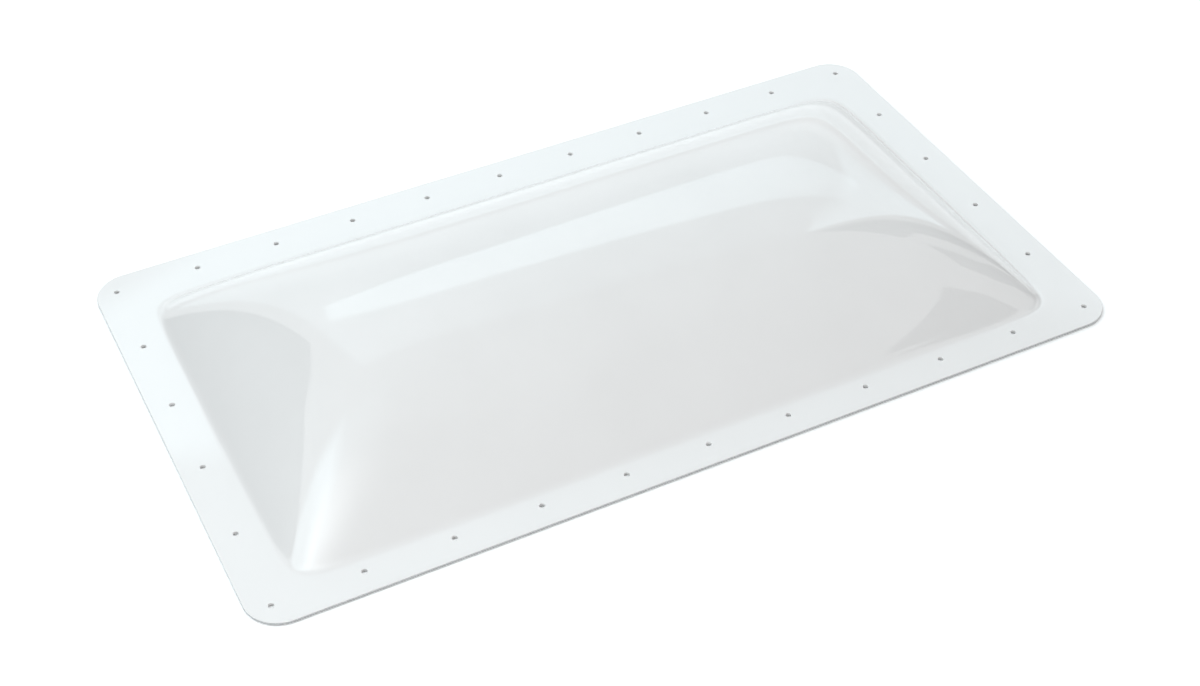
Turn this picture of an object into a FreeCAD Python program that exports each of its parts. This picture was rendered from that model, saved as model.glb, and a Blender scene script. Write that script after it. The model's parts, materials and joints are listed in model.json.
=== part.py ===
import FreeCAD, Part
import math
import os

# Roof skylight: a formed plastic dome with a screw flange, bedded on four sealing strips.
# Millimetres. X runs along the length, Y across it, Z up. The origin is under the middle of
# the flange, on the roof that the strips lie on.

# Dome, measured at its foot, where its wall would meet the flange's top with no fillet
dome_length = 760.0
dome_width = 398.0
dome_height = 87.0
crown_wall = 2.4
# The sheet is trimmed so that the dome stands a little nearer to the flange's front edge
dome_offset = -9.0

# Fullness of the dome: a larger exponent keeps the crown flat further out
end_exponent = 4.6
side_exponent = 2.0
# Sharpness of the hips that run from the dome's corners to its crown
hip_sharpness = 6.6

# Flange
flange_thickness = 3.0
end_land = 45.5
side_land = 46.0
flange_corner_radius = 33.0
foot_fillet = 8.5

# Fixing holes
hole_diameter = 5.0
end_hole_inset = 21.0
side_hole_inset = 23.0
long_side_holes = 11
short_side_holes = 6

# Sealing strips under the flange
strip_thickness = 1.2
strip_width = 20.0
strip_hole_clearance = 0.5

# Spacing of the control points that shape the dome's faces
grid_step = 3.0

# Sizes that follow from the values above
flange_length = dome_length + 2 * end_land
flange_width = dome_width + 2 * side_land
hole_line_x = flange_length / 2 - end_hole_inset
hole_line_y = flange_width / 2 - side_hole_inset
long_pitch = 2 * hole_line_x / (long_side_holes - 1)
short_pitch = 2 * hole_line_y / (short_side_holes - 1)
flange_bottom = strip_thickness
flange_top = flange_bottom + flange_thickness
crown = 1 - math.log(2) / hip_sharpness
end_slope = 2 * dome_height * end_exponent / crown / dome_length
side_slope = 2 * dome_height * side_exponent / crown / dome_width
foot_angle = math.atan(side_slope)
# Height above and below the flange's top over which the foot's fillet turns into the wall
foot_blend = foot_fillet * math.tan(foot_angle / 2) * side_slope
# Half sizes of the formed area, which ends in level rows of control points on the flange
formed_x = dome_length / 2 + foot_blend / end_slope + 2 * grid_step
formed_y = dome_width / 2 + foot_blend / side_slope + 2 * grid_step


def bubble(x, y):
    """Height of the bare bubble above the flange's top, below zero outside its foot."""
    along = 1 - abs(2 * x / dome_length) ** end_exponent
    across = 1 - abs(2 * (y - dome_offset) / dome_width) ** side_exponent
    blend = math.exp(-hip_sharpness * along) + math.exp(-hip_sharpness * across)
    return -dome_height * math.log(blend) / hip_sharpness / crown


def rise(x, y):
    """Height of the outer face above the flange's top, with the fillet at the dome's foot."""
    height = bubble(x, y)
    if height <= -foot_blend:
        return 0.0
    if height < foot_blend:
        return (height + foot_blend) ** 2 / (4 * foot_blend)
    return height


def outer_height(x, y):
    """Height of the outer face."""
    return flange_top + rise(x, y)


def inner_height(x, y):
    """Height of the inner face: it runs parallel to the outer one, and thins to the crown."""
    step = 0.1
    passes = 6
    outer_x = x
    outer_y = y
    for _ in range(passes):
        slope_x = (rise(outer_x + step, outer_y) - rise(outer_x - step, outer_y)) / (2 * step)
        slope_y = (rise(outer_x, outer_y + step) - rise(outer_x, outer_y - step)) / (2 * step)
        share = rise(outer_x, outer_y) / dome_height
        wall = flange_thickness + (crown_wall - flange_thickness) * share
        tilt = math.sqrt(1 + slope_x ** 2 + slope_y ** 2)
        outer_x = x - wall * slope_x / tilt
        outer_y = y - wall * slope_y / tilt
    return outer_height(outer_x, outer_y) - wall / tilt


def control_line(middle, half):
    """Places and knots of a cubic line's control points, at most the grid's spacing apart."""
    spans = math.ceil(2 * half / grid_step)
    knots = [middle - half + 2 * half * i / spans for i in range(spans + 1)]
    padded = knots[:1] * 3 + knots + knots[-1:] * 3
    places = [sum(padded[i + 1:i + 4]) / 3 for i in range(spans + 3)]
    return places, knots


def formed_face(height):
    """Smooth cubic face over the formed area, level along its straight borders."""
    places_x, knots_x = control_line(0, formed_x)
    places_y, knots_y = control_line(dome_offset, formed_y)
    poles = [[FreeCAD.Vector(x, y, height(x, y)) for y in places_y] for x in places_x]
    repeats_x = [4] + [1] * (len(knots_x) - 2) + [4]
    repeats_y = [4] + [1] * (len(knots_y) - 2) + [4]
    surface = Part.BSplineSurface()
    surface.buildFromPolesMultsKnots(
        poles, repeats_x, repeats_y, knots_x, knots_y, False, False, 3, 3)
    return surface.toShape()


def hole_places():
    """Centres of the fixing holes, each once, round the flange."""
    places = []
    for i in range(long_side_holes):
        x = -hole_line_x + i * long_pitch
        places.append((x, -hole_line_y))
        places.append((x, hole_line_y))
    for j in range(1, short_side_holes - 1):
        y = -hole_line_y + j * short_pitch
        places.append((-hole_line_x, y))
        places.append((hole_line_x, y))
    return places


def drills(diameter, bottom, top):
    """Cylinders that cut the fixing holes between two heights."""
    up = FreeCAD.Vector(0, 0, 1)
    return [
        Part.makeCylinder(diameter / 2, top - bottom, FreeCAD.Vector(x, y, bottom), up)
        for x, y in hole_places()
    ]


def box_about(y, half_x, half_y, bottom, top):
    """Box with its middle in line with the origin, or off it across the width."""
    corner = FreeCAD.Vector(-half_x, y - half_y, bottom)
    return Part.makeBox(2 * half_x, 2 * half_y, top - bottom, corner)


def upright_edges(solid):
    """Edges of a plate that run straight up."""
    return [edge for edge in solid.Edges if abs(edge.tangentAt(edge.FirstParameter).z) > 0.9]


def borders_formed_area(face):
    """Whether a face is one of the flange's upright walls round the formed area."""
    box = face.BoundBox
    slack = 0.01
    within_x = box.XMin > -formed_x - slack and box.XMax < formed_x + slack
    within_y = box.YMin > dome_offset - formed_y - slack and box.YMax < dome_offset + formed_y + slack
    return within_x and within_y


def make_dome():
    """The formed sheet: flange with its holes, joined to the hollow dome along straight borders."""
    plate = box_about(0, flange_length / 2, flange_width / 2, flange_bottom, flange_top)
    plate = plate.makeFillet(flange_corner_radius, upright_edges(plate))
    reach = flange_thickness
    below = flange_bottom - reach
    above = flange_top + reach
    plate = plate.cut(drills(hole_diameter, below, above))
    plate = plate.cut(box_about(dome_offset, formed_x, formed_y, below, above))
    faces = [face for face in plate.Faces if not borders_formed_area(face)]
    faces += [formed_face(outer_height), formed_face(inner_height)]
    shell = Part.makeShell(faces)
    shell.sewShape()
    return Part.makeSolid(shell)


def make_strip(length, width, x, y):
    """One sealing strip, centred at x and y, punched where the flange's holes are."""
    corner = FreeCAD.Vector(x - length / 2, y - width / 2, 0)
    strip = Part.makeBox(length, width, strip_thickness, corner)
    punch = hole_diameter + 2 * strip_hole_clearance
    return strip.cut(drills(punch, -strip_thickness, 2 * strip_thickness))


def make_strips():
    """The four strips: two whole long ones and two short ones that butt against them."""
    long_length = 2 * hole_line_x + strip_width
    short_length = 2 * hole_line_y - strip_width
    return {
        "gasket_front": make_strip(long_length, strip_width, 0, -hole_line_y),
        "gasket_rear": make_strip(long_length, strip_width, 0, hole_line_y),
        "gasket_left": make_strip(strip_width, short_length, -hole_line_x, 0),
        "gasket_right": make_strip(strip_width, short_length, hole_line_x, 0),
    }


def main():
    """Make each piece, write it and print what it measures."""
    os.makedirs("parts", exist_ok=True)
    pieces = {"dome": make_dome()}
    pieces.update(make_strips())
    for name, shape in pieces.items():
        shape.exportStep("parts/" + name + ".step")
        print(name, "valid", shape.isValid(), "solids", len(shape.Solids), "volume", round(shape.Volume))


main()
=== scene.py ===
import json
import logging
import math
from collections.abc import Callable, Sequence
from dataclasses import dataclass, field
from enum import Enum

import bpy
import numpy as np
from mathutils import Matrix, Vector, noise
from mathutils.geometry import delaunay_2d_cdt


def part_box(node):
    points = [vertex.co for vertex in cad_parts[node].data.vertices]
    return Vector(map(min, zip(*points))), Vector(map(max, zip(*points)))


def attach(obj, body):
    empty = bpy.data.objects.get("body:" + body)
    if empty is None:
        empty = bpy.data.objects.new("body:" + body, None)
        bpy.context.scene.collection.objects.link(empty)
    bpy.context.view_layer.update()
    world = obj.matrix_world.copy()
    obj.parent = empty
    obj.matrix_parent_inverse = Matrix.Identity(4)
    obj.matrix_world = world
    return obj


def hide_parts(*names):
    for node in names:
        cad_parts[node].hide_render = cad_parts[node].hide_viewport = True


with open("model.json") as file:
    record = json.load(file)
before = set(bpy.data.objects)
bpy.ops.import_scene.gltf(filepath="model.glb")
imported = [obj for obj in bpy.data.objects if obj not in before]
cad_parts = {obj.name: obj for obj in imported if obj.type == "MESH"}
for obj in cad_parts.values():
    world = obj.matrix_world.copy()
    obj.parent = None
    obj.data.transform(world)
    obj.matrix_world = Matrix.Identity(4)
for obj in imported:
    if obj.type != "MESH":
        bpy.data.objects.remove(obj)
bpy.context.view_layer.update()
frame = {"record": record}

log = logging.getLogger("skylight")

BODY = "root"
MM = 0.001
# Decimals that places in metres are rounded to
DECIMALS = 6
# Millimetres within which the triangulation takes two points for one
WELD = 1e-5
# Share of a step that the points filling a level area keep from its borders
CLEAR_SHARE = 0.4
# The corners of a rectangle, anticlockwise from the one at the rear right
QUARTERS = ((1, 1), (-1, 1), (-1, -1), (1, -1))

Colour = tuple[float, float, float]
Point = tuple[float, float, float]
Place = tuple[float, float]


class Side(Enum):
    """The four sealing strips, by the CAD node that each one stands for."""

    FRONT = "gasket_front"
    REAR = "gasket_rear"
    LEFT = "gasket_left"
    RIGHT = "gasket_right"


class Skin(Enum):
    """Which finish a face of the formed sheet wears, by its material slot on the mesh."""

    FORMED = 0
    CUT = 1


class Shader:
    """A material under construction, with short ways to add and link its nodes."""

    noise_middle = (0.3, 0.7)

    def __init__(self, name: str) -> None:
        """Starts a node material.

        Args:
            name: the material's name.
        """
        self.material = bpy.data.materials.new(name)
        self.material.use_nodes = True
        self.tree = self.material.node_tree
        self.surface = self.tree.nodes["Principled BSDF"]
        self.place = self.add("ShaderNodeTexCoord").outputs["Object"]

    def add(self, kind: str, **settings: object) -> bpy.types.Node:
        """Adds one node.

        Args:
            kind: Blender's name for the node's type.
            settings: values for the node's own options.

        Returns:
            The new node.
        """
        node = self.tree.nodes.new(kind)
        for key, value in settings.items():
            setattr(node, key, value)
        return node

    def link(self, start: bpy.types.NodeSocket, end: bpy.types.NodeSocket) -> None:
        """Joins an output to an input."""
        self.tree.links.new(start, end)

    def noise(
        self, grain: float, stretch: Point = (1, 1, 1), detail: float = 2
    ) -> bpy.types.NodeSocket:
        """Adds a noise texture laid over the piece.

        Args:
            grain: size of the noise's blobs, in metres.
            stretch: how much finer the noise is along X, Y and Z.
            detail: octaves of finer noise on top.

        Returns:
            The noise's value, about 0.5 on average.
        """
        mapping = self.add("ShaderNodeMapping")
        mapping.inputs["Scale"].default_value = stretch
        self.link(self.place, mapping.inputs["Vector"])
        texture = self.add("ShaderNodeTexNoise")
        texture.inputs["Scale"].default_value = 1 / grain
        texture.inputs["Detail"].default_value = detail
        self.link(mapping.outputs["Vector"], texture.inputs["Vector"])
        return texture.outputs["Fac"]

    def ramp(self, value: bpy.types.NodeSocket, low: float, high: float) -> bpy.types.NodeSocket:
        """Spreads a noise's middle range over two limits.

        Args:
            value: the noise's value.
            low: result where the noise is weak.
            high: result where it is strong.

        Returns:
            The spread value.
        """
        weak, strong = self.noise_middle
        spread = self.add("ShaderNodeMapRange")
        spread.inputs["From Min"].default_value = weak
        spread.inputs["From Max"].default_value = strong
        spread.inputs["To Min"].default_value = low
        spread.inputs["To Max"].default_value = high
        self.link(value, spread.inputs["Value"])
        return spread.outputs["Result"]

    def blend(
        self,
        value: bpy.types.NodeSocket,
        first: Colour | bpy.types.NodeSocket,
        second: Colour | bpy.types.NodeSocket,
    ) -> bpy.types.NodeSocket:
        """Mixes two colours.

        Args:
            value: share of the second colour.
            first: a colour, or an output that gives one.
            second: a colour, or an output that gives one.

        Returns:
            The mixed colour.
        """
        mix = self.add("ShaderNodeMix", data_type="RGBA")
        self.link(value, mix.inputs["Factor"])
        for colour, socket in zip((first, second), colour_sockets(mix.inputs)):
            if isinstance(colour, tuple):
                socket.default_value = (*colour, 1)
            else:
                self.link(colour, socket)
        return colour_sockets(mix.outputs)[0]

    def bump(
        self, value: bpy.types.NodeSocket, height: float, under: bpy.types.NodeSocket | None = None
    ) -> bpy.types.NodeSocket:
        """Turns a value into a raised surface.

        Args:
            value: the height's pattern, 0 to 1.
            height: full height of the pattern, in metres.
            under: a normal that this one lies on.

        Returns:
            The bumped normal.
        """
        node = self.add("ShaderNodeBump")
        node.inputs["Distance"].default_value = height
        self.link(value, node.inputs["Height"])
        if under is not None:
            self.link(under, node.inputs["Normal"])
        return node.outputs["Normal"]


def colour_sockets(sockets: Sequence[bpy.types.NodeSocket]) -> list[bpy.types.NodeSocket]:
    """The sockets of a Mix node that carry colours."""
    return [socket for socket in sockets if socket.type == "RGBA"]


@dataclass(frozen=True)
class MilkySheet:
    """Glossy, milk-white formed acrylic: paler where the wall is full, greyer where stretched thin,
    partly as the thin wall's own tone and partly as painted shade of the dark hollow under the
    dome.
    """

    full: Colour = (0.860, 0.846, 0.840)
    # Painted shade: greyer than the full colour partly because a thin wall holds less milk, partly
    # to stand in for the dark hollow under the dome
    drawn_and_hollow_shaded: Colour = (0.81, 0.795, 0.788)
    cloud: Colour = (0.89, 0.875, 0.87)
    cloud_size: float = 0.09
    cloud_share: float = 0.35
    gloss: tuple[float, float] = (0.015, 0.035)
    gloss_patch: float = 0.05
    ior: float = 1.75
    peel: float = 0.004
    peel_height: float = 0.000002

    def material(self) -> bpy.types.Material:
        """Makes the finish's material.

        Returns:
            The material, which reads the mesh's "wall" attribute.
        """
        shader = Shader("milky_acrylic_painted_shade")
        wall = shader.add("ShaderNodeAttribute", attribute_name="wall").outputs["Fac"]
        # Where the wall is thin the dome greys: partly the thin wall's own tone, partly painted
        # shade of the hollow beneath
        white = shader.blend(wall, self.drawn_and_hollow_shaded, self.full)
        clouds = shader.ramp(shader.noise(self.cloud_size, detail=3), 0, self.cloud_share)
        shader.link(shader.blend(clouds, white, self.cloud), shader.surface.inputs["Base Color"])
        haze = shader.ramp(shader.noise(self.gloss_patch, detail=4), *self.gloss)
        shader.link(haze, shader.surface.inputs["Roughness"])
        skin = shader.bump(shader.noise(self.peel), self.peel_height)
        shader.link(skin, shader.surface.inputs["Normal"])
        shader.surface.inputs["IOR"].default_value = self.ior
        return shader.material


@dataclass(frozen=True)
class ShadedRoutedEdge:
    """The sheet's cut edge, left matt and a little scored by the router; its grey, far below the
    sheet's white, is painted shade on the upright edge.
    """

    # Painted shade: both tones sit far below the sheet's white to darken the upright edge; their
    # spread follows the router's score lines
    pale: Colour = (0.62, 0.63, 0.635)
    dark: Colour = (0.47, 0.475, 0.48)
    roughness: float = 0.42
    score: float = 0.0006
    score_stretch: Point = (1, 1, 0.15)
    score_height: float = 0.00004

    def material(self) -> bpy.types.Material:
        """Makes the finish's material.

        Returns:
            The material.
        """
        shader = Shader("routed_edge_painted_shade")
        lines = shader.noise(self.score, stretch=self.score_stretch, detail=1)
        tone = shader.ramp(lines, 0, 1)
        shader.link(shader.blend(tone, self.dark, self.pale), shader.surface.inputs["Base Color"])
        shader.link(shader.bump(lines, self.score_height), shader.surface.inputs["Normal"])
        shader.surface.inputs["Roughness"].default_value = self.roughness
        return shader.material


@dataclass(frozen=True)
class SealingRubber:
    """Pale grey sealing strip: matt, close-celled and faintly mottled."""

    pale: Colour = (0.60, 0.60, 0.585)
    dark: Colour = (0.50, 0.50, 0.49)
    mottle: float = 0.012
    roughness: float = 0.75
    cell: float = 0.0009
    dimple: float = 0.006
    relief: float = 0.00012

    def material(self) -> bpy.types.Material:
        """Makes the finish's material.

        Returns:
            The material.
        """
        shader = Shader("sealing_rubber")
        tone = shader.ramp(shader.noise(self.mottle, detail=4), 0, 1)
        shader.link(shader.blend(tone, self.dark, self.pale), shader.surface.inputs["Base Color"])
        pores = shader.add("ShaderNodeTexVoronoi", feature="F1")
        pores.inputs["Scale"].default_value = 1 / self.cell
        shader.link(shader.place, pores.inputs["Vector"])
        cells = shader.bump(pores.outputs["Distance"], self.relief)
        dimples = shader.bump(shader.noise(self.dimple), self.relief, under=cells)
        shader.link(dimples, shader.surface.inputs["Normal"])
        shader.surface.inputs["Roughness"].default_value = self.roughness
        return shader.material


@dataclass(frozen=True)
class Ripple:
    """The slow waviness that a formed sheet keeps: it only ever dips below the true surface."""

    depth: float = 0.00025
    spacing: float = 0.16
    share_on_flange: float = 0.3
    whole_above: float = 0.25

    def dip(self, x: float, y: float, rise: float, crown: float) -> float:
        """How far the sheet dips at a place.

        Args:
            x: place along the dome.
            y: place across it.
            rise: height of the sheet above the flange there.
            crown: height of the dome, of which the ripple is whole above a share.

        Returns:
            The dip, in metres, zero or less.
        """
        wave = (noise.noise(Vector((x, y, rise)) / self.spacing) - 1) / 2
        formed = min(1.0, rise / (self.whole_above * crown))
        share = self.share_on_flange + (1 - self.share_on_flange) * formed
        return self.depth * share * wave


@dataclass
class Draft:
    """Points and faces of one piece while it is being made."""

    points: list[Point] = field(default_factory=list)
    faces: list[tuple[int, ...]] = field(default_factory=list)
    skins: list[int] = field(default_factory=list)

    def ring(self, points: Sequence[Point]) -> list[int]:
        """Adds points.

        Args:
            points: the places to add, in order.

        Returns:
            Their numbers in the draft.
        """
        first = len(self.points)
        self.points.extend(points)
        return list(range(first, len(self.points)))

    def face(self, corners: Sequence[int], skin: Skin = Skin.FORMED) -> None:
        """Adds one face."""
        self.faces.append(tuple(corners))
        self.skins.append(skin.value)

    def band(self, inner: Sequence[int], outer: Sequence[int], skin: Skin = Skin.FORMED) -> None:
        """Joins two closed rings, counted anticlockwise, so that a level band faces up.

        Args:
            inner: the ring inside.
            outer: the ring outside, with as many points.
            skin: the finish that the band wears.
        """
        count = len(inner)
        for i in range(count):
            j = (i + 1) % count
            self.face((inner[i], outer[i], outer[j], inner[j]), skin)

    def fill(
        self,
        rings: Sequence[Sequence[int]],
        keep: Callable[[float, float], bool],
        dots: Sequence[Place],
        level: float,
        up: bool,
    ) -> None:
        """Fills a level area between closed rings with even triangles.

        Args:
            rings: closed rings of point numbers that border the area.
            keep: whether a place lies in the area.
            dots: places inside the area for points of its own.
            level: height of those points.
            up: whether the area faces up.
        """
        numbers = [number for ring in rings for number in ring]
        numbers += self.ring([(x, y, level) for x, y in dots])
        flat = [Vector((self.points[n][0] / MM, self.points[n][1] / MM)) for n in numbers]
        borders = []
        first = 0
        for ring in rings:
            borders += [(first + i, first + (i + 1) % len(ring)) for i in range(len(ring))]
            first += len(ring)
        places, _, triangles, sources, _, _ = delaunay_2d_cdt(flat, borders, [], 0, WELD)
        for triangle in triangles:
            a, b, c = (places[i] for i in triangle)
            if not keep((a.x + b.x + c.x) / 3 * MM, (a.y + b.y + c.y) / 3 * MM):
                continue
            corners = [numbers[sources[i][0]] for i in triangle]
            turns_left = (b - a).cross(c - a) > 0
            self.face(corners if turns_left == up else corners[::-1])

    def piece(self, name: str, finishes: Sequence[bpy.types.Material]) -> bpy.types.Object:
        """Turns the draft into a smooth-shaded object.

        Args:
            name: the object's name.
            finishes: its materials, in the order of the skins.

        Returns:
            The object, linked into the scene.
        """
        mesh = bpy.data.meshes.new(name)
        mesh.from_pydata(self.points, [], self.faces)
        for finish in finishes:
            mesh.materials.append(finish)
        mesh.polygons.foreach_set("material_index", self.skins)
        mesh.polygons.foreach_set("use_smooth", [True] * len(self.faces))
        mesh.update()
        thing = bpy.data.objects.new(name, mesh)
        bpy.context.scene.collection.objects.link(thing)
        return thing


def circle(centre: Place, radius: float, level: float, count: int) -> list[Point]:
    """Points round a level circle, anticlockwise.

    Args:
        centre: its middle.
        radius: its radius.
        level: its height.
        count: how many points.

    Returns:
        The points.
    """
    x, y = centre
    turns = [2 * math.pi * i / count for i in range(count)]
    return [(x + radius * math.cos(turn), y + radius * math.sin(turn), level) for turn in turns]


def rounded_outline(half: Place, radius: float, level: float, step: float) -> list[Point]:
    """Points round a level rectangle with round corners about the origin, anticlockwise.

    Args:
        half: half its length and half its width.
        radius: its corners' radius.
        level: its height.
        step: the widest gap between points along its straight runs.

    Returns:
        The points, as many at every radius that leaves the straight runs as they are.
    """
    bends = 16
    middles = [(sx * (half[0] - radius), sy * (half[1] - radius)) for sx, sy in QUARTERS]
    points: list[Point] = []
    for quarter, (x, y) in enumerate(middles):
        for k in range(bends + 1):
            turn = (quarter + k / bends) * math.pi / 2
            points.append((x + radius * math.cos(turn), y + radius * math.sin(turn), level))
        start = points[-1]
        next_x, next_y = middles[(quarter + 1) % len(middles)]
        gaps = math.ceil(round(math.dist((x, y), (next_x, next_y)) / step, DECIMALS))
        for k in range(1, gaps):
            share = k / gaps
            points.append((start[0] + share * (next_x - x), start[1] + share * (next_y - y), level))
    return points


def screw_holes() -> tuple[list[Place], float]:
    """Reads the flange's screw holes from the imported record's bolt patterns.

    Returns:
        The holes' centres, and their radius.
    """
    places: set[Place] = set()
    radius = 0.0
    for mount in frame["record"]["mounts"]:
        if mount["kind"] != "bolt_pattern":
            continue
        x, y, _ = mount["pos_m"]
        dims = mount["dims"]
        half_x = dims.get("spacing_x_mm", 0) / 2 * MM
        half_y = dims.get("spacing_y_mm", 0) / 2 * MM
        radius = dims["hole_r_mm"] * MM
        for sx, sy in QUARTERS:
            places.add((round(x + sx * half_x, DECIMALS), round(y + sy * half_y, DECIMALS)))
    return sorted(places), radius


@dataclass
class Hole:
    """A drilled or punched hole: its place, radius and broken edge."""

    centre: Place
    radius: float
    edge: float
    support: float
    edge_middle: float = 0.3
    count: int = 28

    def profile(self, top: float, bottom: float) -> list[tuple[float, float]]:
        """Rings of the hole, from its top face to its bottom face.

        Args:
            top: height of the piece's top.
            bottom: height of its bottom.

        Returns:
            Radius and height of each ring.
        """
        mid = self.edge * self.edge_middle
        return [
            (self.radius + self.edge + self.support, top),
            (self.radius + self.edge, top),
            (self.radius + mid, top - mid),
            (self.radius, top - self.edge),
            (self.radius, (top + bottom) / 2),
            (self.radius, bottom + self.edge),
            (self.radius + mid, bottom + mid),
            (self.radius + self.edge, bottom),
            (self.radius + self.edge + self.support, bottom),
        ]

    def cut(self, draft: Draft, top: float, bottom: float) -> tuple[list[int], list[int]]:
        """Adds the hole's wall to a draft.

        Args:
            draft: the piece that it goes through.
            top: height of the piece's top.
            bottom: height of its bottom.

        Returns:
            The rings that the top face and the bottom face end at.
        """
        sizes = self.profile(top, bottom)
        rings = [draft.ring(circle(self.centre, r, level, self.count)) for r, level in sizes]
        for upper, lower in zip(rings, rings[1:]):
            draft.band(lower, upper)
        return rings[0], rings[-1]

    def holds(self, x: float, y: float, margin: float = 0.0) -> bool:
        """Whether a place lies in the hole or its edge."""
        reach = self.radius + self.edge + self.support + margin
        return math.hypot(x - self.centre[0], y - self.centre[1]) < reach


@dataclass
class DomeSheet:
    """The formed sheet: a long bubble that flows through a fillet into a drilled flange."""

    foot_length: float = 0.760
    foot_width: float = 0.398
    offset: float = -0.009
    end_exponent: float = 4.6
    side_exponent: float = 2.0
    hip_sharpness: float = 6.6
    foot_fillet: float = 0.0085
    flange_sheet: float = 0.003
    crown_wall: float = 0.0024
    thinning: float = 0.5
    corner_radius: float = 0.033
    edge_round: float = 0.0006
    edge_turns: tuple[int, ...] = (0, 30, 60, 90)
    edge_support: float = 0.0006
    hole_edge: float = 0.00035
    hole_support: float = 0.0004
    coarse_step: float = 0.006
    fine_step: float = 0.002
    fine_band: float = 0.036
    flange_step: float = 0.007
    border: float = 0.002
    ripple: Ripple = Ripple()
    finish: MilkySheet = MilkySheet()
    edge_finish: ShadedRoutedEdge = ShadedRoutedEdge()

    def __post_init__(self) -> None:
        """Takes the flange's place, the dome's height and the holes from the frame."""
        low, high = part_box("dome")
        self.half_length = high[0]
        self.half_width = high[1]
        self.bottom = low[2]
        self.top = self.bottom + self.flange_sheet
        self.height = high[2] - self.top
        centres, radius = screw_holes()
        self.holes = [Hole(c, radius, self.hole_edge, self.hole_support) for c in centres]
        self.crown = 1 - math.log(2) / self.hip_sharpness
        end_slope = 2 * self.height * self.end_exponent / self.crown / self.foot_length
        side_slope = 2 * self.height * self.side_exponent / self.crown / self.foot_width
        self.blend = self.foot_fillet * math.tan(math.atan(side_slope) / 2) * side_slope
        self.formed = (
            self.foot_length / 2 + self.blend / end_slope + self.border,
            self.foot_width / 2 + self.blend / side_slope + self.border,
        )

    def rise(self, x: np.ndarray, y: np.ndarray) -> np.ndarray:
        """Height of the sheet's top above the flange.

        Args:
            x: places along the dome.
            y: places across it.

        Returns:
            The heights, zero on the flange.
        """
        along = 1 - np.abs(2 * x / self.foot_length) ** self.end_exponent
        across = 1 - np.abs(2 * (y - self.offset) / self.foot_width) ** self.side_exponent
        hips = np.exp(-self.hip_sharpness * along) + np.exp(-self.hip_sharpness * across)
        bubble = -self.height * np.log(hips) / self.hip_sharpness / self.crown
        fillet = (np.maximum(bubble, -self.blend) + self.blend) ** 2 / (4 * self.blend)
        return np.where(bubble < self.blend, fillet, bubble)

    def underside(self, x: np.ndarray, y: np.ndarray) -> np.ndarray:
        """Height of the sheet's underside above the flange's top, square to its top everywhere.

        Args:
            x: places along the dome.
            y: places across it.

        Returns:
            The heights.
        """
        step = 0.0001
        passes = 6
        top_x, top_y = x, y
        for _ in range(passes):
            slope_x = (self.rise(top_x + step, top_y) - self.rise(top_x - step, top_y)) / (2 * step)
            slope_y = (self.rise(top_x, top_y + step) - self.rise(top_x, top_y - step)) / (2 * step)
            tilt = np.sqrt(1 + slope_x**2 + slope_y**2)
            share = self.rise(top_x, top_y) / self.height
            wall = self.flange_sheet + (self.crown_wall - self.flange_sheet) * share
            top_x = x - wall * slope_x / tilt
            top_y = y - wall * slope_y / tilt
        return self.rise(top_x, top_y) - wall / tilt

    def grid_line(self, half: float) -> np.ndarray:
        """Places of the formed area's grid lines, close together over the fillet.

        Args:
            half: half the formed area's size along the line.

        Returns:
            The places, from -half to half.
        """
        inner = half - self.fine_band
        coarse = np.linspace(0, inner, math.ceil(inner / self.coarse_step) + 1)
        fine = np.linspace(inner, half, math.ceil(self.fine_band / self.fine_step) + 1)
        positive = np.concatenate([coarse, fine[1:]])
        return np.concatenate([-positive[:0:-1], positive])

    def formed_area(
        self, draft: Draft, heights: np.ndarray, lines: tuple[np.ndarray, np.ndarray], up: bool
    ) -> list[int]:
        """Adds one face of the bubble and its fillet.

        Args:
            draft: the sheet.
            heights: height at each crossing of the grid lines.
            lines: the grid lines' places along X and Y.
            up: whether the face is the top one.

        Returns:
            The ring round the face's border, anticlockwise.
        """
        xs, ys = lines
        crossings = [(i, j) for i in range(len(xs)) for j in range(len(ys))]
        points = [(float(xs[i]), float(ys[j]), float(heights[i, j])) for i, j in crossings]
        grid = np.array(draft.ring(points)).reshape(heights.shape)
        for i in range(len(xs) - 1):
            for j in range(len(ys) - 1):
                corners = (grid[i, j], grid[i + 1, j], grid[i + 1, j + 1], grid[i, j + 1])
                draft.face([int(c) for c in (corners if up else corners[::-1])])
        border = [*grid[:-1, 0], *grid[-1, :-1], *grid[:0:-1, -1], *grid[0, :0:-1]]
        return [int(n) for n in border]

    def edge_profile(self) -> list[tuple[float, float]]:
        """Rings round the flange's edge, from its top face to its bottom.

        Returns:
            Inset and height of each ring.
        """
        r = self.edge_round
        turns = [math.radians(turn) for turn in self.edge_turns]
        upper = [(r * (1 - math.sin(a)), self.top - r * (1 - math.cos(a))) for a in turns]
        lower = [(inset, self.top + self.bottom - level) for inset, level in reversed(upper)]
        inside = r + self.edge_support
        return [(inside, self.top), *upper, *lower, (inside, self.bottom)]

    def outline(self, inset: float, level: float) -> list[Point]:
        """Points round the flange, a little inside its edge."""
        half = (self.half_length - inset, self.half_width - inset)
        return rounded_outline(half, self.corner_radius - inset, level, self.flange_step)

    def edge_wall(self, draft: Draft) -> tuple[list[int], list[int]]:
        """Adds the flange's edge, whose upright part wears the cut finish.

        Args:
            draft: the sheet.

        Returns:
            The rings that the flange's top and bottom faces end at.
        """
        rings = [draft.ring(self.outline(inset, level)) for inset, level in self.edge_profile()]
        rounded = len(self.edge_turns) - 1
        cut = range(rounded, len(rings) - 1 - rounded)
        for k, (inner, outer) in enumerate(zip(rings, rings[1:])):
            draft.band(inner, outer, Skin.CUT if k in cut else Skin.FORMED)
        return rings[0], rings[-1]

    def flange_dots(self) -> list[Place]:
        """Places for points on the flange, clear of its holes and borders.

        Returns:
            The places.
        """
        margin = CLEAR_SHARE * self.flange_step
        dots = []
        for x in np.arange(-self.half_length, self.half_length, self.flange_step):
            for y in np.arange(-self.half_width, self.half_width, self.flange_step):
                if self.on_flange(x, y, margin):
                    dots.append((float(x), float(y)))
        return dots

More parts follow.
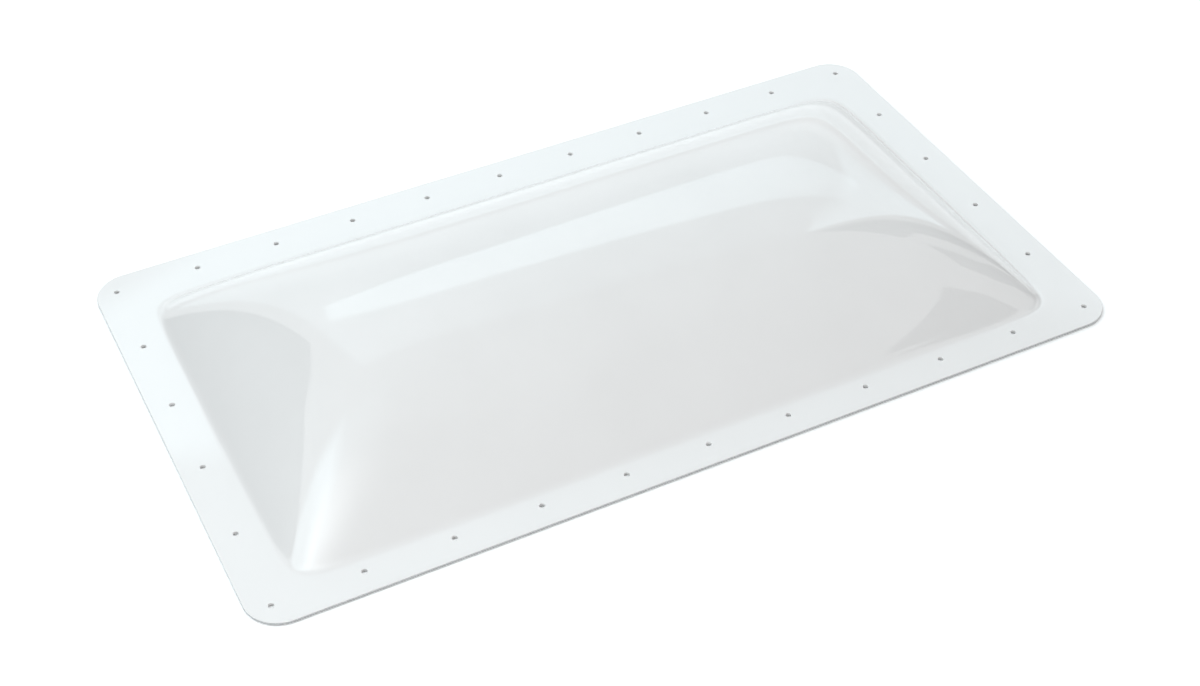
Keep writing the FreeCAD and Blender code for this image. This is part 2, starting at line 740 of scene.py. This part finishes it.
    def on_flange(self, x: float, y: float, margin: float = 0.0) -> bool:
        """Whether a place is on the flange, that far inside its edge and clear of its holes.

        Args:
            x: the place along the dome.
            y: the place across it.
            margin: how far inside it has to be.

        Returns:
            True if it is.
        """
        if abs(x) < self.formed[0] + margin and abs(y - self.offset) < self.formed[1] + margin:
            return False
        reach = margin + self.edge_round + self.edge_support if margin else 0.0
        over_x = max(0.0, abs(x) - (self.half_length - self.corner_radius))
        over_y = max(0.0, abs(y) - (self.half_width - self.corner_radius))
        if math.hypot(over_x, over_y) > self.corner_radius - reach:
            return False
        return not any(hole.holds(x, y, margin) for hole in self.holes)

    def build(self) -> bpy.types.Object:
        """Models the sheet: both faces of the bubble, the flange, its edge and its holes.

        Returns:
            The sheet, dressed in its finishes.
        """
        draft = Draft()
        lines = (self.grid_line(self.formed[0]), self.grid_line(self.formed[1]) + self.offset)
        x, y = np.meshgrid(*lines, indexing="ij")
        top_border = self.formed_area(draft, self.top + self.rise(x, y), lines, True)
        low_border = self.formed_area(draft, self.top + self.underside(x, y), lines, False)
        top_edge, low_edge = self.edge_wall(draft)
        walls = [hole.cut(draft, self.top, self.bottom) for hole in self.holes]
        top_rings = [top_border, top_edge, *(top for top, _ in walls)]
        low_rings = [low_border, low_edge, *(low for _, low in walls)]
        dots = self.flange_dots()
        draft.fill(top_rings, self.on_flange, dots, self.top, True)
        draft.fill(low_rings, self.on_flange, dots, self.bottom, False)
        self.settle(draft)
        piece = draft.piece("dome_sheet", [self.finish.material(), self.edge_finish.material()])
        self.mark_wall_for_painted_shade(piece)
        return piece

    def settle(self, draft: Draft) -> None:
        """Lets the sheet's slow ripple into the draft's points.

        Args:
            draft: the sheet.
        """
        places = np.array(draft.points)
        rises = self.rise(places[:, 0], places[:, 1])
        draft.points = [
            (x, y, z + self.ripple.dip(x, y, float(rise), self.height))
            for (x, y, z), rise in zip(draft.points, rises)
        ]

    def mark_wall_for_painted_shade(self, piece: bpy.types.Object) -> None:
        """Stores how full the wall is at each point, 1 on the flange and 0 at the crown; the
        sheet's material greys the dome by it, partly as painted shade of the hollow beneath.

        Args:
            piece: the sheet.
        """
        places = np.array([v.co for v in piece.data.vertices])
        rises = self.rise(places[:, 0], places[:, 1])
        share = 1 - np.clip(rises / self.height, 0, 1) ** self.thinning
        wall = piece.data.attributes.new("wall", "FLOAT", "POINT")
        wall.data.foreach_set("value", share.astype(np.float32))

    def fit(self) -> bpy.types.Object:
        """Builds the sheet and puts it in the CAD dome's place.

        Returns:
            The sheet.
        """
        piece = self.build()
        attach(piece, BODY)
        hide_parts("dome")
        return piece


@dataclass
class SealingStrip:
    """One of the strips that bed the flange on the roof: soft-edged and punched for the screws."""

    side: Side
    punch_radius: float = 0.003
    bulge: float = 0.0006
    bulge_turns: tuple[int, ...] = (-90, -60, -30, 0, 30, 60, 90)
    support: float = 0.0006
    step: float = 0.005
    finish: SealingRubber = SealingRubber()

    def __post_init__(self) -> None:
        """Takes the strip's box and its holes from the frame."""
        self.low, self.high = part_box(self.side.value)
        self.centre = tuple((self.low[axis] + self.high[axis]) / 2 for axis in (0, 1))
        self.half = tuple((self.high[axis] - self.low[axis]) / 2 for axis in (0, 1))
        self.holes = [
            Hole(place, self.punch_radius, self.bulge / 2, self.support)
            for place in screw_holes()[0]
            if all(self.low[axis] < place[axis] < self.high[axis] for axis in (0, 1))
        ]

    def on_strip(self, x: float, y: float, margin: float = 0.0) -> bool:
        """Whether a place is on the strip, that far inside its side and clear of its holes.

        Args:
            x: the place along the dome.
            y: the place across it.
            margin: how far inside it has to be.

        Returns:
            True if it is.
        """
        reach = self.bulge + self.support + margin if margin else 0.0
        within_x = abs(x - self.centre[0]) < self.half[0] - reach
        within_y = abs(y - self.centre[1]) < self.half[1] - reach
        return within_x and within_y and not any(hole.holds(x, y, margin) for hole in self.holes)

    def dots(self) -> list[Place]:
        """Places for points on the strip, clear of its holes and side.

        Returns:
            The places.
        """
        margin = CLEAR_SHARE * self.step
        spots_x = np.arange(self.low[0], self.high[0], self.step)
        spots_y = np.arange(self.low[1], self.high[1], self.step)
        spots = [(float(x), float(y)) for x in spots_x for y in spots_y]
        return [spot for spot in spots if self.on_strip(*spot, margin)]

    def build(self) -> bpy.types.Object:
        """Models the strip in its CAD node's box.

        Returns:
            The strip, dressed in its finish.
        """
        draft = Draft()
        rings = [draft.ring(self.outline(inset, level)) for inset, level in self.profile()]
        for inner, outer in zip(rings, rings[1:]):
            draft.band(inner, outer)
        bottom, top = self.low[2], self.high[2]
        walls = [hole.cut(draft, top, bottom) for hole in self.holes]
        dots = self.dots()
        draft.fill([rings[0], *(upper for upper, _ in walls)], self.on_strip, dots, top, True)
        draft.fill([rings[-1], *(lower for _, lower in walls)], self.on_strip, dots, bottom, False)
        return draft.piece(self.side.value + "_strip", [self.finish.material()])

    def profile(self) -> list[tuple[float, float]]:
        """Rings round the strip's bulging side, from top to bottom.

        Returns:
            Inset and height of each ring.
        """
        bottom, top = self.low[2], self.high[2]
        middle = (top + bottom) / 2
        thick = top - bottom
        turns = [math.radians(turn) for turn in self.bulge_turns]
        side = [(self.bulge * (1 - math.cos(a)), middle - thick / 2 * math.sin(a)) for a in turns]
        inside = self.bulge + self.support
        return [(inside, top), *side, (inside, bottom)]

    def outline(self, inset: float, level: float) -> list[Point]:
        """Points round the strip, anticlockwise.

        Args:
            inset: how far inside the strip's side they lie.
            level: their height.

        Returns:
            The points, as many at every inset.
        """
        reach = [half - inset for half in self.half]
        corners = [
            (self.centre[0] + sx * reach[0], self.centre[1] + sy * reach[1]) for sx, sy in QUARTERS
        ]
        points: list[Point] = []
        for quarter, (x, y) in enumerate(corners):
            next_x, next_y = corners[(quarter + 1) % len(corners)]
            gaps = math.ceil(2 * self.half[quarter % 2] / self.step)
            shares = [k / gaps for k in range(gaps)]
            points += [(x + s * (next_x - x), y + s * (next_y - y), level) for s in shares]
        return points

    def fit(self) -> bpy.types.Object:
        """Builds the strip and puts it in its CAD node's place.

        Returns:
            The strip.
        """
        piece = self.build()
        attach(piece, BODY)
        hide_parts(self.side.value)
        return piece


@dataclass(frozen=True)
class PhotoCamera:
    """The photograph's viewpoint, as read from the places of the thirty holes in it."""

    azimuth: float = -25.96
    elevation: float = 41.51
    roll: float = 0.979
    distance: float = 1.8619
    right: float = -0.00389
    up: float = 0.04193
    level: float = 0.0042
    focal_pixels: float = 1953.1
    image_width: float = 1200
    sensor: float = 36
    nearest: float = 0.05
    furthest: float = 60

    def place(self) -> bpy.types.Object:
        """Makes the scene's camera.

        Returns:
            The camera.
        """
        a, e, r = (math.radians(v) for v in (self.azimuth, self.elevation, self.roll))
        back = Vector((math.sin(a) * math.cos(e), -math.cos(a) * math.cos(e), math.sin(e)))
        right = Vector((0, 0, 1)).cross(back).normalized()
        up = back.cross(right)
        rolled_right = math.cos(r) * right - math.sin(r) * up
        rolled_up = math.sin(r) * right + math.cos(r) * up
        data = bpy.data.cameras.new("photo_camera")
        data.sensor_width = self.sensor
        data.lens = self.focal_pixels / self.image_width * self.sensor
        data.clip_start = self.nearest
        data.clip_end = self.furthest
        camera = bpy.data.objects.new("photo_camera", data)
        origin = Vector((0, 0, self.level))
        location = origin - rolled_right * self.right - rolled_up * self.up + back * self.distance
        turn = Matrix((rolled_right, rolled_up, back)).transposed().to_4x4()
        camera.matrix_world = Matrix.Translation(location) @ turn
        bpy.context.scene.collection.objects.link(camera)
        bpy.context.scene.camera = camera
        return camera


@dataclass(frozen=True)
class Softbox:
    """A plain rectangular light, aimed at the skylight from a compass angle and a height."""

    name: str
    azimuth: float
    elevation: float
    half_width: float
    half_height: float
    radiance: float
    fade: tuple[float, float]
    distance: float = 5.0

    def hang(self) -> bpy.types.Object:
        """Makes the light; its half sizes are shares of its distance.

        Returns:
            The lamp, which the camera itself doesn't see.
        """
        a, e = math.radians(self.azimuth), math.radians(self.elevation)
        out = Vector((math.sin(a) * math.cos(e), math.cos(a) * math.cos(e), math.sin(e)))
        side = out.cross(Vector((0, 0, 1))).normalized()
        data = bpy.data.lights.new(self.name, "AREA")
        data.shape = "RECTANGLE"
        data.size = 2 * self.half_width * self.distance
        data.size_y = 2 * self.half_height * self.distance
        data.energy = self.radiance * math.pi * data.size * data.size_y
        self.fade_edges(data)
        lamp = bpy.data.objects.new(self.name, data)
        turn = Matrix((-side, side.cross(out), out)).transposed().to_4x4()
        lamp.matrix_world = Matrix.Translation(out * self.distance) @ turn
        lamp.visible_camera = False
        bpy.context.scene.collection.objects.link(lamp)
        return lamp

    def fade_edges(self, light: bpy.types.AreaLight) -> None:
        """Lets the lamp fade over a share of its half sizes, as light through a cloth front does.

        Args:
            light: the lamp.
        """
        light.use_nodes = True
        tree = light.node_tree
        emission = next(node for node in tree.nodes if node.type == "EMISSION")
        place = tree.nodes.new("ShaderNodeNewGeometry").outputs["Parametric"]
        split = tree.nodes.new("ShaderNodeSeparateXYZ")
        tree.links.new(place, split.inputs[0])
        level = tree.nodes.new("ShaderNodeMath")
        level.operation = "MULTIPLY"
        for axis, share in enumerate(self.fade):
            centred = tree.nodes.new("ShaderNodeMapRange")
            centred.inputs["To Min"].default_value = -1
            tree.links.new(split.outputs[axis], centred.inputs["Value"])
            depth = tree.nodes.new("ShaderNodeMath")
            depth.operation = "ABSOLUTE"
            tree.links.new(centred.outputs["Result"], depth.inputs[0])
            slope = tree.nodes.new("ShaderNodeMapRange")
            slope.interpolation_type = "SMOOTHSTEP"
            slope.inputs["From Min"].default_value = 1 - share
            slope.inputs["To Min"].default_value = 1
            slope.inputs["To Max"].default_value = 0
            tree.links.new(depth.outputs[0], slope.inputs["Value"])
            tree.links.new(slope.outputs["Result"], level.inputs[axis])
        tree.links.new(level.outputs[0], emission.inputs["Strength"])


class StudioPaint:
    """A material for the studio's own panels and floor, which starts with an empty surface."""

    def __init__(self, name: str) -> None:
        """Starts the material.

        Args:
            name: the material's name.
        """
        self.material = bpy.data.materials.new(name)
        self.material.use_nodes = True
        self.tree = self.material.node_tree
        self.tree.nodes.remove(self.tree.nodes["Principled BSDF"])

    def add(self, kind: str) -> bpy.types.Node:
        """Adds one node."""
        return self.tree.nodes.new(kind)

    def link(self, start: bpy.types.NodeSocket, end: bpy.types.NodeSocket) -> None:
        """Joins an output to an input."""
        self.tree.links.new(start, end)

    def surface(self, shader: bpy.types.Node) -> bpy.types.Material:
        """Makes a shader node the material's surface.

        Args:
            shader: the node.

        Returns:
            The finished material.
        """
        self.link(shader.outputs[0], self.tree.nodes["Material Output"].inputs["Surface"])
        return self.material


def stage_mesh(
    name: str, points: Sequence[Point], faces: Sequence[Sequence[int]], material: bpy.types.Material
) -> bpy.types.Object:
    """Puts a floor or a panel in the scene, marked as no part of the skylight.

    Args:
        name: its name.
        points: its points.
        faces: its faces, by the numbers of their points.
        material: what it is painted with.

    Returns:
        The object.
    """
    mesh = bpy.data.meshes.new(name)
    mesh.from_pydata(points, [], faces)
    mesh.materials.append(material)
    thing = bpy.data.objects.new(name, mesh)
    bpy.context.scene.collection.objects.link(thing)
    return thing


@dataclass(frozen=True)
class GlowPanel:
    """A level glowing panel overhead, of any convex outline, which fades out at its edges."""

    name: str
    corners: tuple[Place, ...]
    radiance: float
    soft: float
    height: float
    shares: tuple[float, ...] = ()
    tint: Colour = (0.83, 1.05, 1.12)

    def inner_corners(self) -> list[Place]:
        """Corners of the panel's lit part, one width of the soft edge inside the outline.

        Returns:
            The corners, in the order of the outline's.
        """
        sides = []
        for k, (ax, ay) in enumerate(self.corners):
            bx, by = self.corners[(k + 1) % len(self.corners)]
            length = math.dist((ax, ay), (bx, by))
            inward = ((ay - by) / length, (bx - ax) / length)
            sides.append((inward, inward[0] * ax + inward[1] * ay + self.soft))
        corners = []
        for k, ((qx, qy), q) in enumerate(sides):
            (px, py), p = sides[k - 1]
            cross = px * qy - py * qx
            corners.append(((p * qy - q * py) / cross, (px * q - qx * p) / cross))
        return corners

    def glow(self) -> bpy.types.Material:
        """Makes the panel's light, which adds to what shows through it.

        Returns:
            The material, which reads the mesh's "glow" attribute.
        """
        paint = StudioPaint(self.name)
        level = paint.add("ShaderNodeAttribute")
        level.attribute_name = "glow"
        light = paint.add("ShaderNodeEmission")
        light.inputs["Color"].default_value = (*self.tint, 1)
        paint.link(level.outputs["Fac"], light.inputs["Strength"])
        both = paint.add("ShaderNodeAddShader")
        paint.link(light.outputs[0], both.inputs[0])
        paint.link(paint.add("ShaderNodeBsdfTransparent").outputs[0], both.inputs[1])
        return paint.surface(both)

    def hang(self) -> bpy.types.Object:
        """Makes the panel; its corners are shares of its height, anticlockwise from above.

        Returns:
            The panel, which the camera itself doesn't see.
        """
        count = len(self.corners)
        places = [*self.corners, *self.inner_corners()]
        points = [(x * self.height, y * self.height, self.height) for x, y in places]
        faces = [tuple(range(count, 2 * count))]
        for k in range(count):
            after = (k + 1) % count
            faces.append((k, after, count + after, count + k))
        panel = stage_mesh(self.name, points, faces, self.glow())
        panel.visible_camera = False
        levels = [self.radiance * share for share in self.shares or (1.0,) * count]
        glow = panel.data.attributes.new("glow", "FLOAT", "POINT")
        glow.data.foreach_set("value", [0.0] * count + levels)
        return panel


@dataclass(frozen=True)
class Flag:
    """A level black card overhead, which keeps one patch of the gloss dark."""

    name: str
    corners: tuple[Place, ...]
    height: float = 3.0
    black: Colour = (0.01, 0.01, 0.01)

    def hang(self) -> bpy.types.Object:
        """Makes the card; its corners are shares of its height, anticlockwise from above.

        Returns:
            The card, which the camera itself doesn't see.
        """
        paint = StudioPaint(self.name)
        matt = paint.add("ShaderNodeBsdfDiffuse")
        matt.inputs["Color"].default_value = (*self.black, 1)
        points = [(x * self.height, y * self.height, self.height) for x, y in self.corners]
        card = stage_mesh(self.name, points, [tuple(range(len(points)))], paint.surface(matt))
        card.visible_camera = False
        return card


# The lamps and cards round the skylight. The panels hang at slightly different heights, so that
# none lies in another.
LAMPS: tuple[Softbox | GlowPanel | Flag, ...] = (
    GlowPanel(
        "far_panel",
        ((0.597, 0.275), (8.9, 5), (8.9, 11), (4.78, 15.5), (-4.6, 11.3), (-0.157, 0.636)),
        radiance=0.12,
        soft=0.006,
        height=3,
    ),
    GlowPanel(
        "far_left_panel",
        ((-0.157, 0.636), (0.597, 0.275), (9, 8), (-4.6, 11.3)),
        radiance=0.27,
        soft=0.006,
        height=2.99,
        shares=(1, 0, 0, 1),
    ),
    GlowPanel(
        "window_strip",
        ((-0.27, 1.1), (0.06, 1), (0.45, 0.93), (0.45, 1.53), (0.05, 1.34), (-0.2, 1.29)),
        radiance=0.76,
        soft=0.045,
        height=2.98,
    ),
    GlowPanel(
        "window_fan",
        ((0.405, 0.94), (0.6, 0.83), (1.05, 0.78), (1.8, 1.5), (1.3, 1.78), (0.405, 1.51)),
        radiance=0.76,
        soft=0.045,
        height=2.96,
        shares=(1, 1, 0.4, 0.5, 0.5, 1),
    ),
    GlowPanel(
        "left_panel",
        ((-0.43, -0.52), (-0.27, -0.1), (-0.29, 0.42), (-1.75, 0.8), (-1.75, -0.1), (-1.2, -0.45)),
        radiance=1.1,
        soft=0.18,
        height=2.94,
    ),
    GlowPanel(
        "left_wash",
        ((0.04, -0.85), (0.04, 0.35), (-0.9, 0.6), (-0.9, -0.7)),
        radiance=0.47,
        soft=0.36,
        height=2.92,
    ),
    Flag(
        "left_flag",
        (
            (-20, 33), (-20, 9.5), (-1.55, 0.7), (-1.36, 0.84),
            (-1.25, 1.02), (-0.95, 1.13), (-0.66, 1.06), (-0.5, 1.12),
        ),
    ),
    Flag(
        "right_flag",
        (
            (0.62, 0.262), (0.85, 0.08), (1.05, 0.26), (1.44, 0.36), (4.3, 1.42), (20, 7),
            (20, 9.6), (5.6, 2.8), (2.2, 1.02), (1.32, 0.585), (0.96, 0.43),
        ),
    ),
    Flag(
        "lower_flag",
        (
            (1, -0.28), (1.3, -0.3), (1.9, -0.1), (20, 4.5),
            (20, 7), (2.4, 0.5), (1.45, 0.05), (0.95, 0.03),
        ),
    ),
    Flag("front_flag", ((0.775, -0.6), (0.765, -1.03), (1.15, -1.03), (1.3, -0.93))),
    Softbox("near_key", -130, 50, 0.5, 0.5, radiance=1.38, fade=(1, 1), distance=1.2),
    Softbox("far_glow", 14, 9, 0.87, 0.4, radiance=0.24, fade=(0.8, 0.9)),
    Softbox("far_right_glow", 47, 5, 0.3, 0.14, radiance=0.2, fade=(0.5, 0.6)),
    GlowPanel(
        "right_glow",
        ((0.6, 0.277), (4.6, 2.58), (4.2, 4.2), (0.75, 0.62)),
        radiance=0.83,
        soft=0.006,
        height=2.95,
        shares=(1, 1, 0, 0),
    ),
)


@dataclass(frozen=True)
class Studio:
    """A plain white floor and soft lamps round the skylight."""

    ambient: float = 0.711
    floor_half: float = 14.0
    floor_colour: Colour = (0.80, 0.80, 0.80)
    floor_seen: Colour = (1.25, 1.25, 1.25)
    lamps: tuple[Softbox | GlowPanel | Flag, ...] = LAMPS

    @staticmethod
    def seen_directly(paint: StudioPaint) -> bpy.types.NodeSocket:
        """Adds a value that is 1 for rays from the camera, off gloss or through glass.

        Args:
            paint: the material that it is for.

        Returns:
            The value.
        """
        path = paint.add("ShaderNodeLightPath")
        value = path.outputs["Is Camera Ray"]
        for kind in ("Is Glossy Ray", "Is Transmission Ray"):
            most = paint.add("ShaderNodeMath")
            most.operation = "MAXIMUM"
            paint.link(value, most.inputs[0])
            paint.link(path.outputs[kind], most.inputs[1])
            value = most.outputs[0]
        return value

    def surround(self) -> None:
        """Makes the world: one plain, pale level all round."""
        world = bpy.data.worlds.new("studio_world")
        bpy.context.scene.world = world
        world.use_nodes = True
        light = world.node_tree.nodes["Background"]
        light.inputs["Strength"].default_value = self.ambient
        light.inputs["Color"].default_value = (1, 1, 1, 1)

    def lay_floor(self) -> bpy.types.Object:
        """Makes the floor: it keeps the skylight's shadow and is white elsewhere.

        Returns:
            The floor.
        """
        paint = StudioPaint("studio_floor")
        matt = paint.add("ShaderNodeBsdfDiffuse")
        mix = paint.add("ShaderNodeMix")
        mix.data_type = "RGBA"
        for colour, socket in zip((self.floor_colour, self.floor_seen), colour_sockets(mix.inputs)):
            socket.default_value = (*colour, 1)
        paint.link(self.seen_directly(paint), mix.inputs["Factor"])
        paint.link(colour_sockets(mix.outputs)[0], matt.inputs["Color"])
        corners = [(sx * self.floor_half, sy * self.floor_half, 0) for sx, sy in QUARTERS]
        return stage_mesh("floor", corners, [(0, 1, 2, 3)], paint.surface(matt))

    def set_up(self) -> None:
        """Makes the world, the floor and the lamps."""
        self.surround()
        self.lay_floor()
        for lamp in self.lamps:
            lamp.hang()


def main() -> None:
    """Sets up the studio, then builds and fits each piece of the skylight."""
    logging.basicConfig(level=logging.INFO, format="%(name)s: %(message)s")
    bpy.context.scene.view_settings.view_transform = "Standard"
    PhotoCamera().place()
    Studio().set_up()
    for part in (DomeSheet(), *(SealingStrip(side) for side in Side)):
        piece = part.fit()
        mesh = piece.data
        log.info("%s: %d points, %d faces", piece.name, len(mesh.vertices), len(mesh.polygons))


if __name__ == "__main__":
    main()
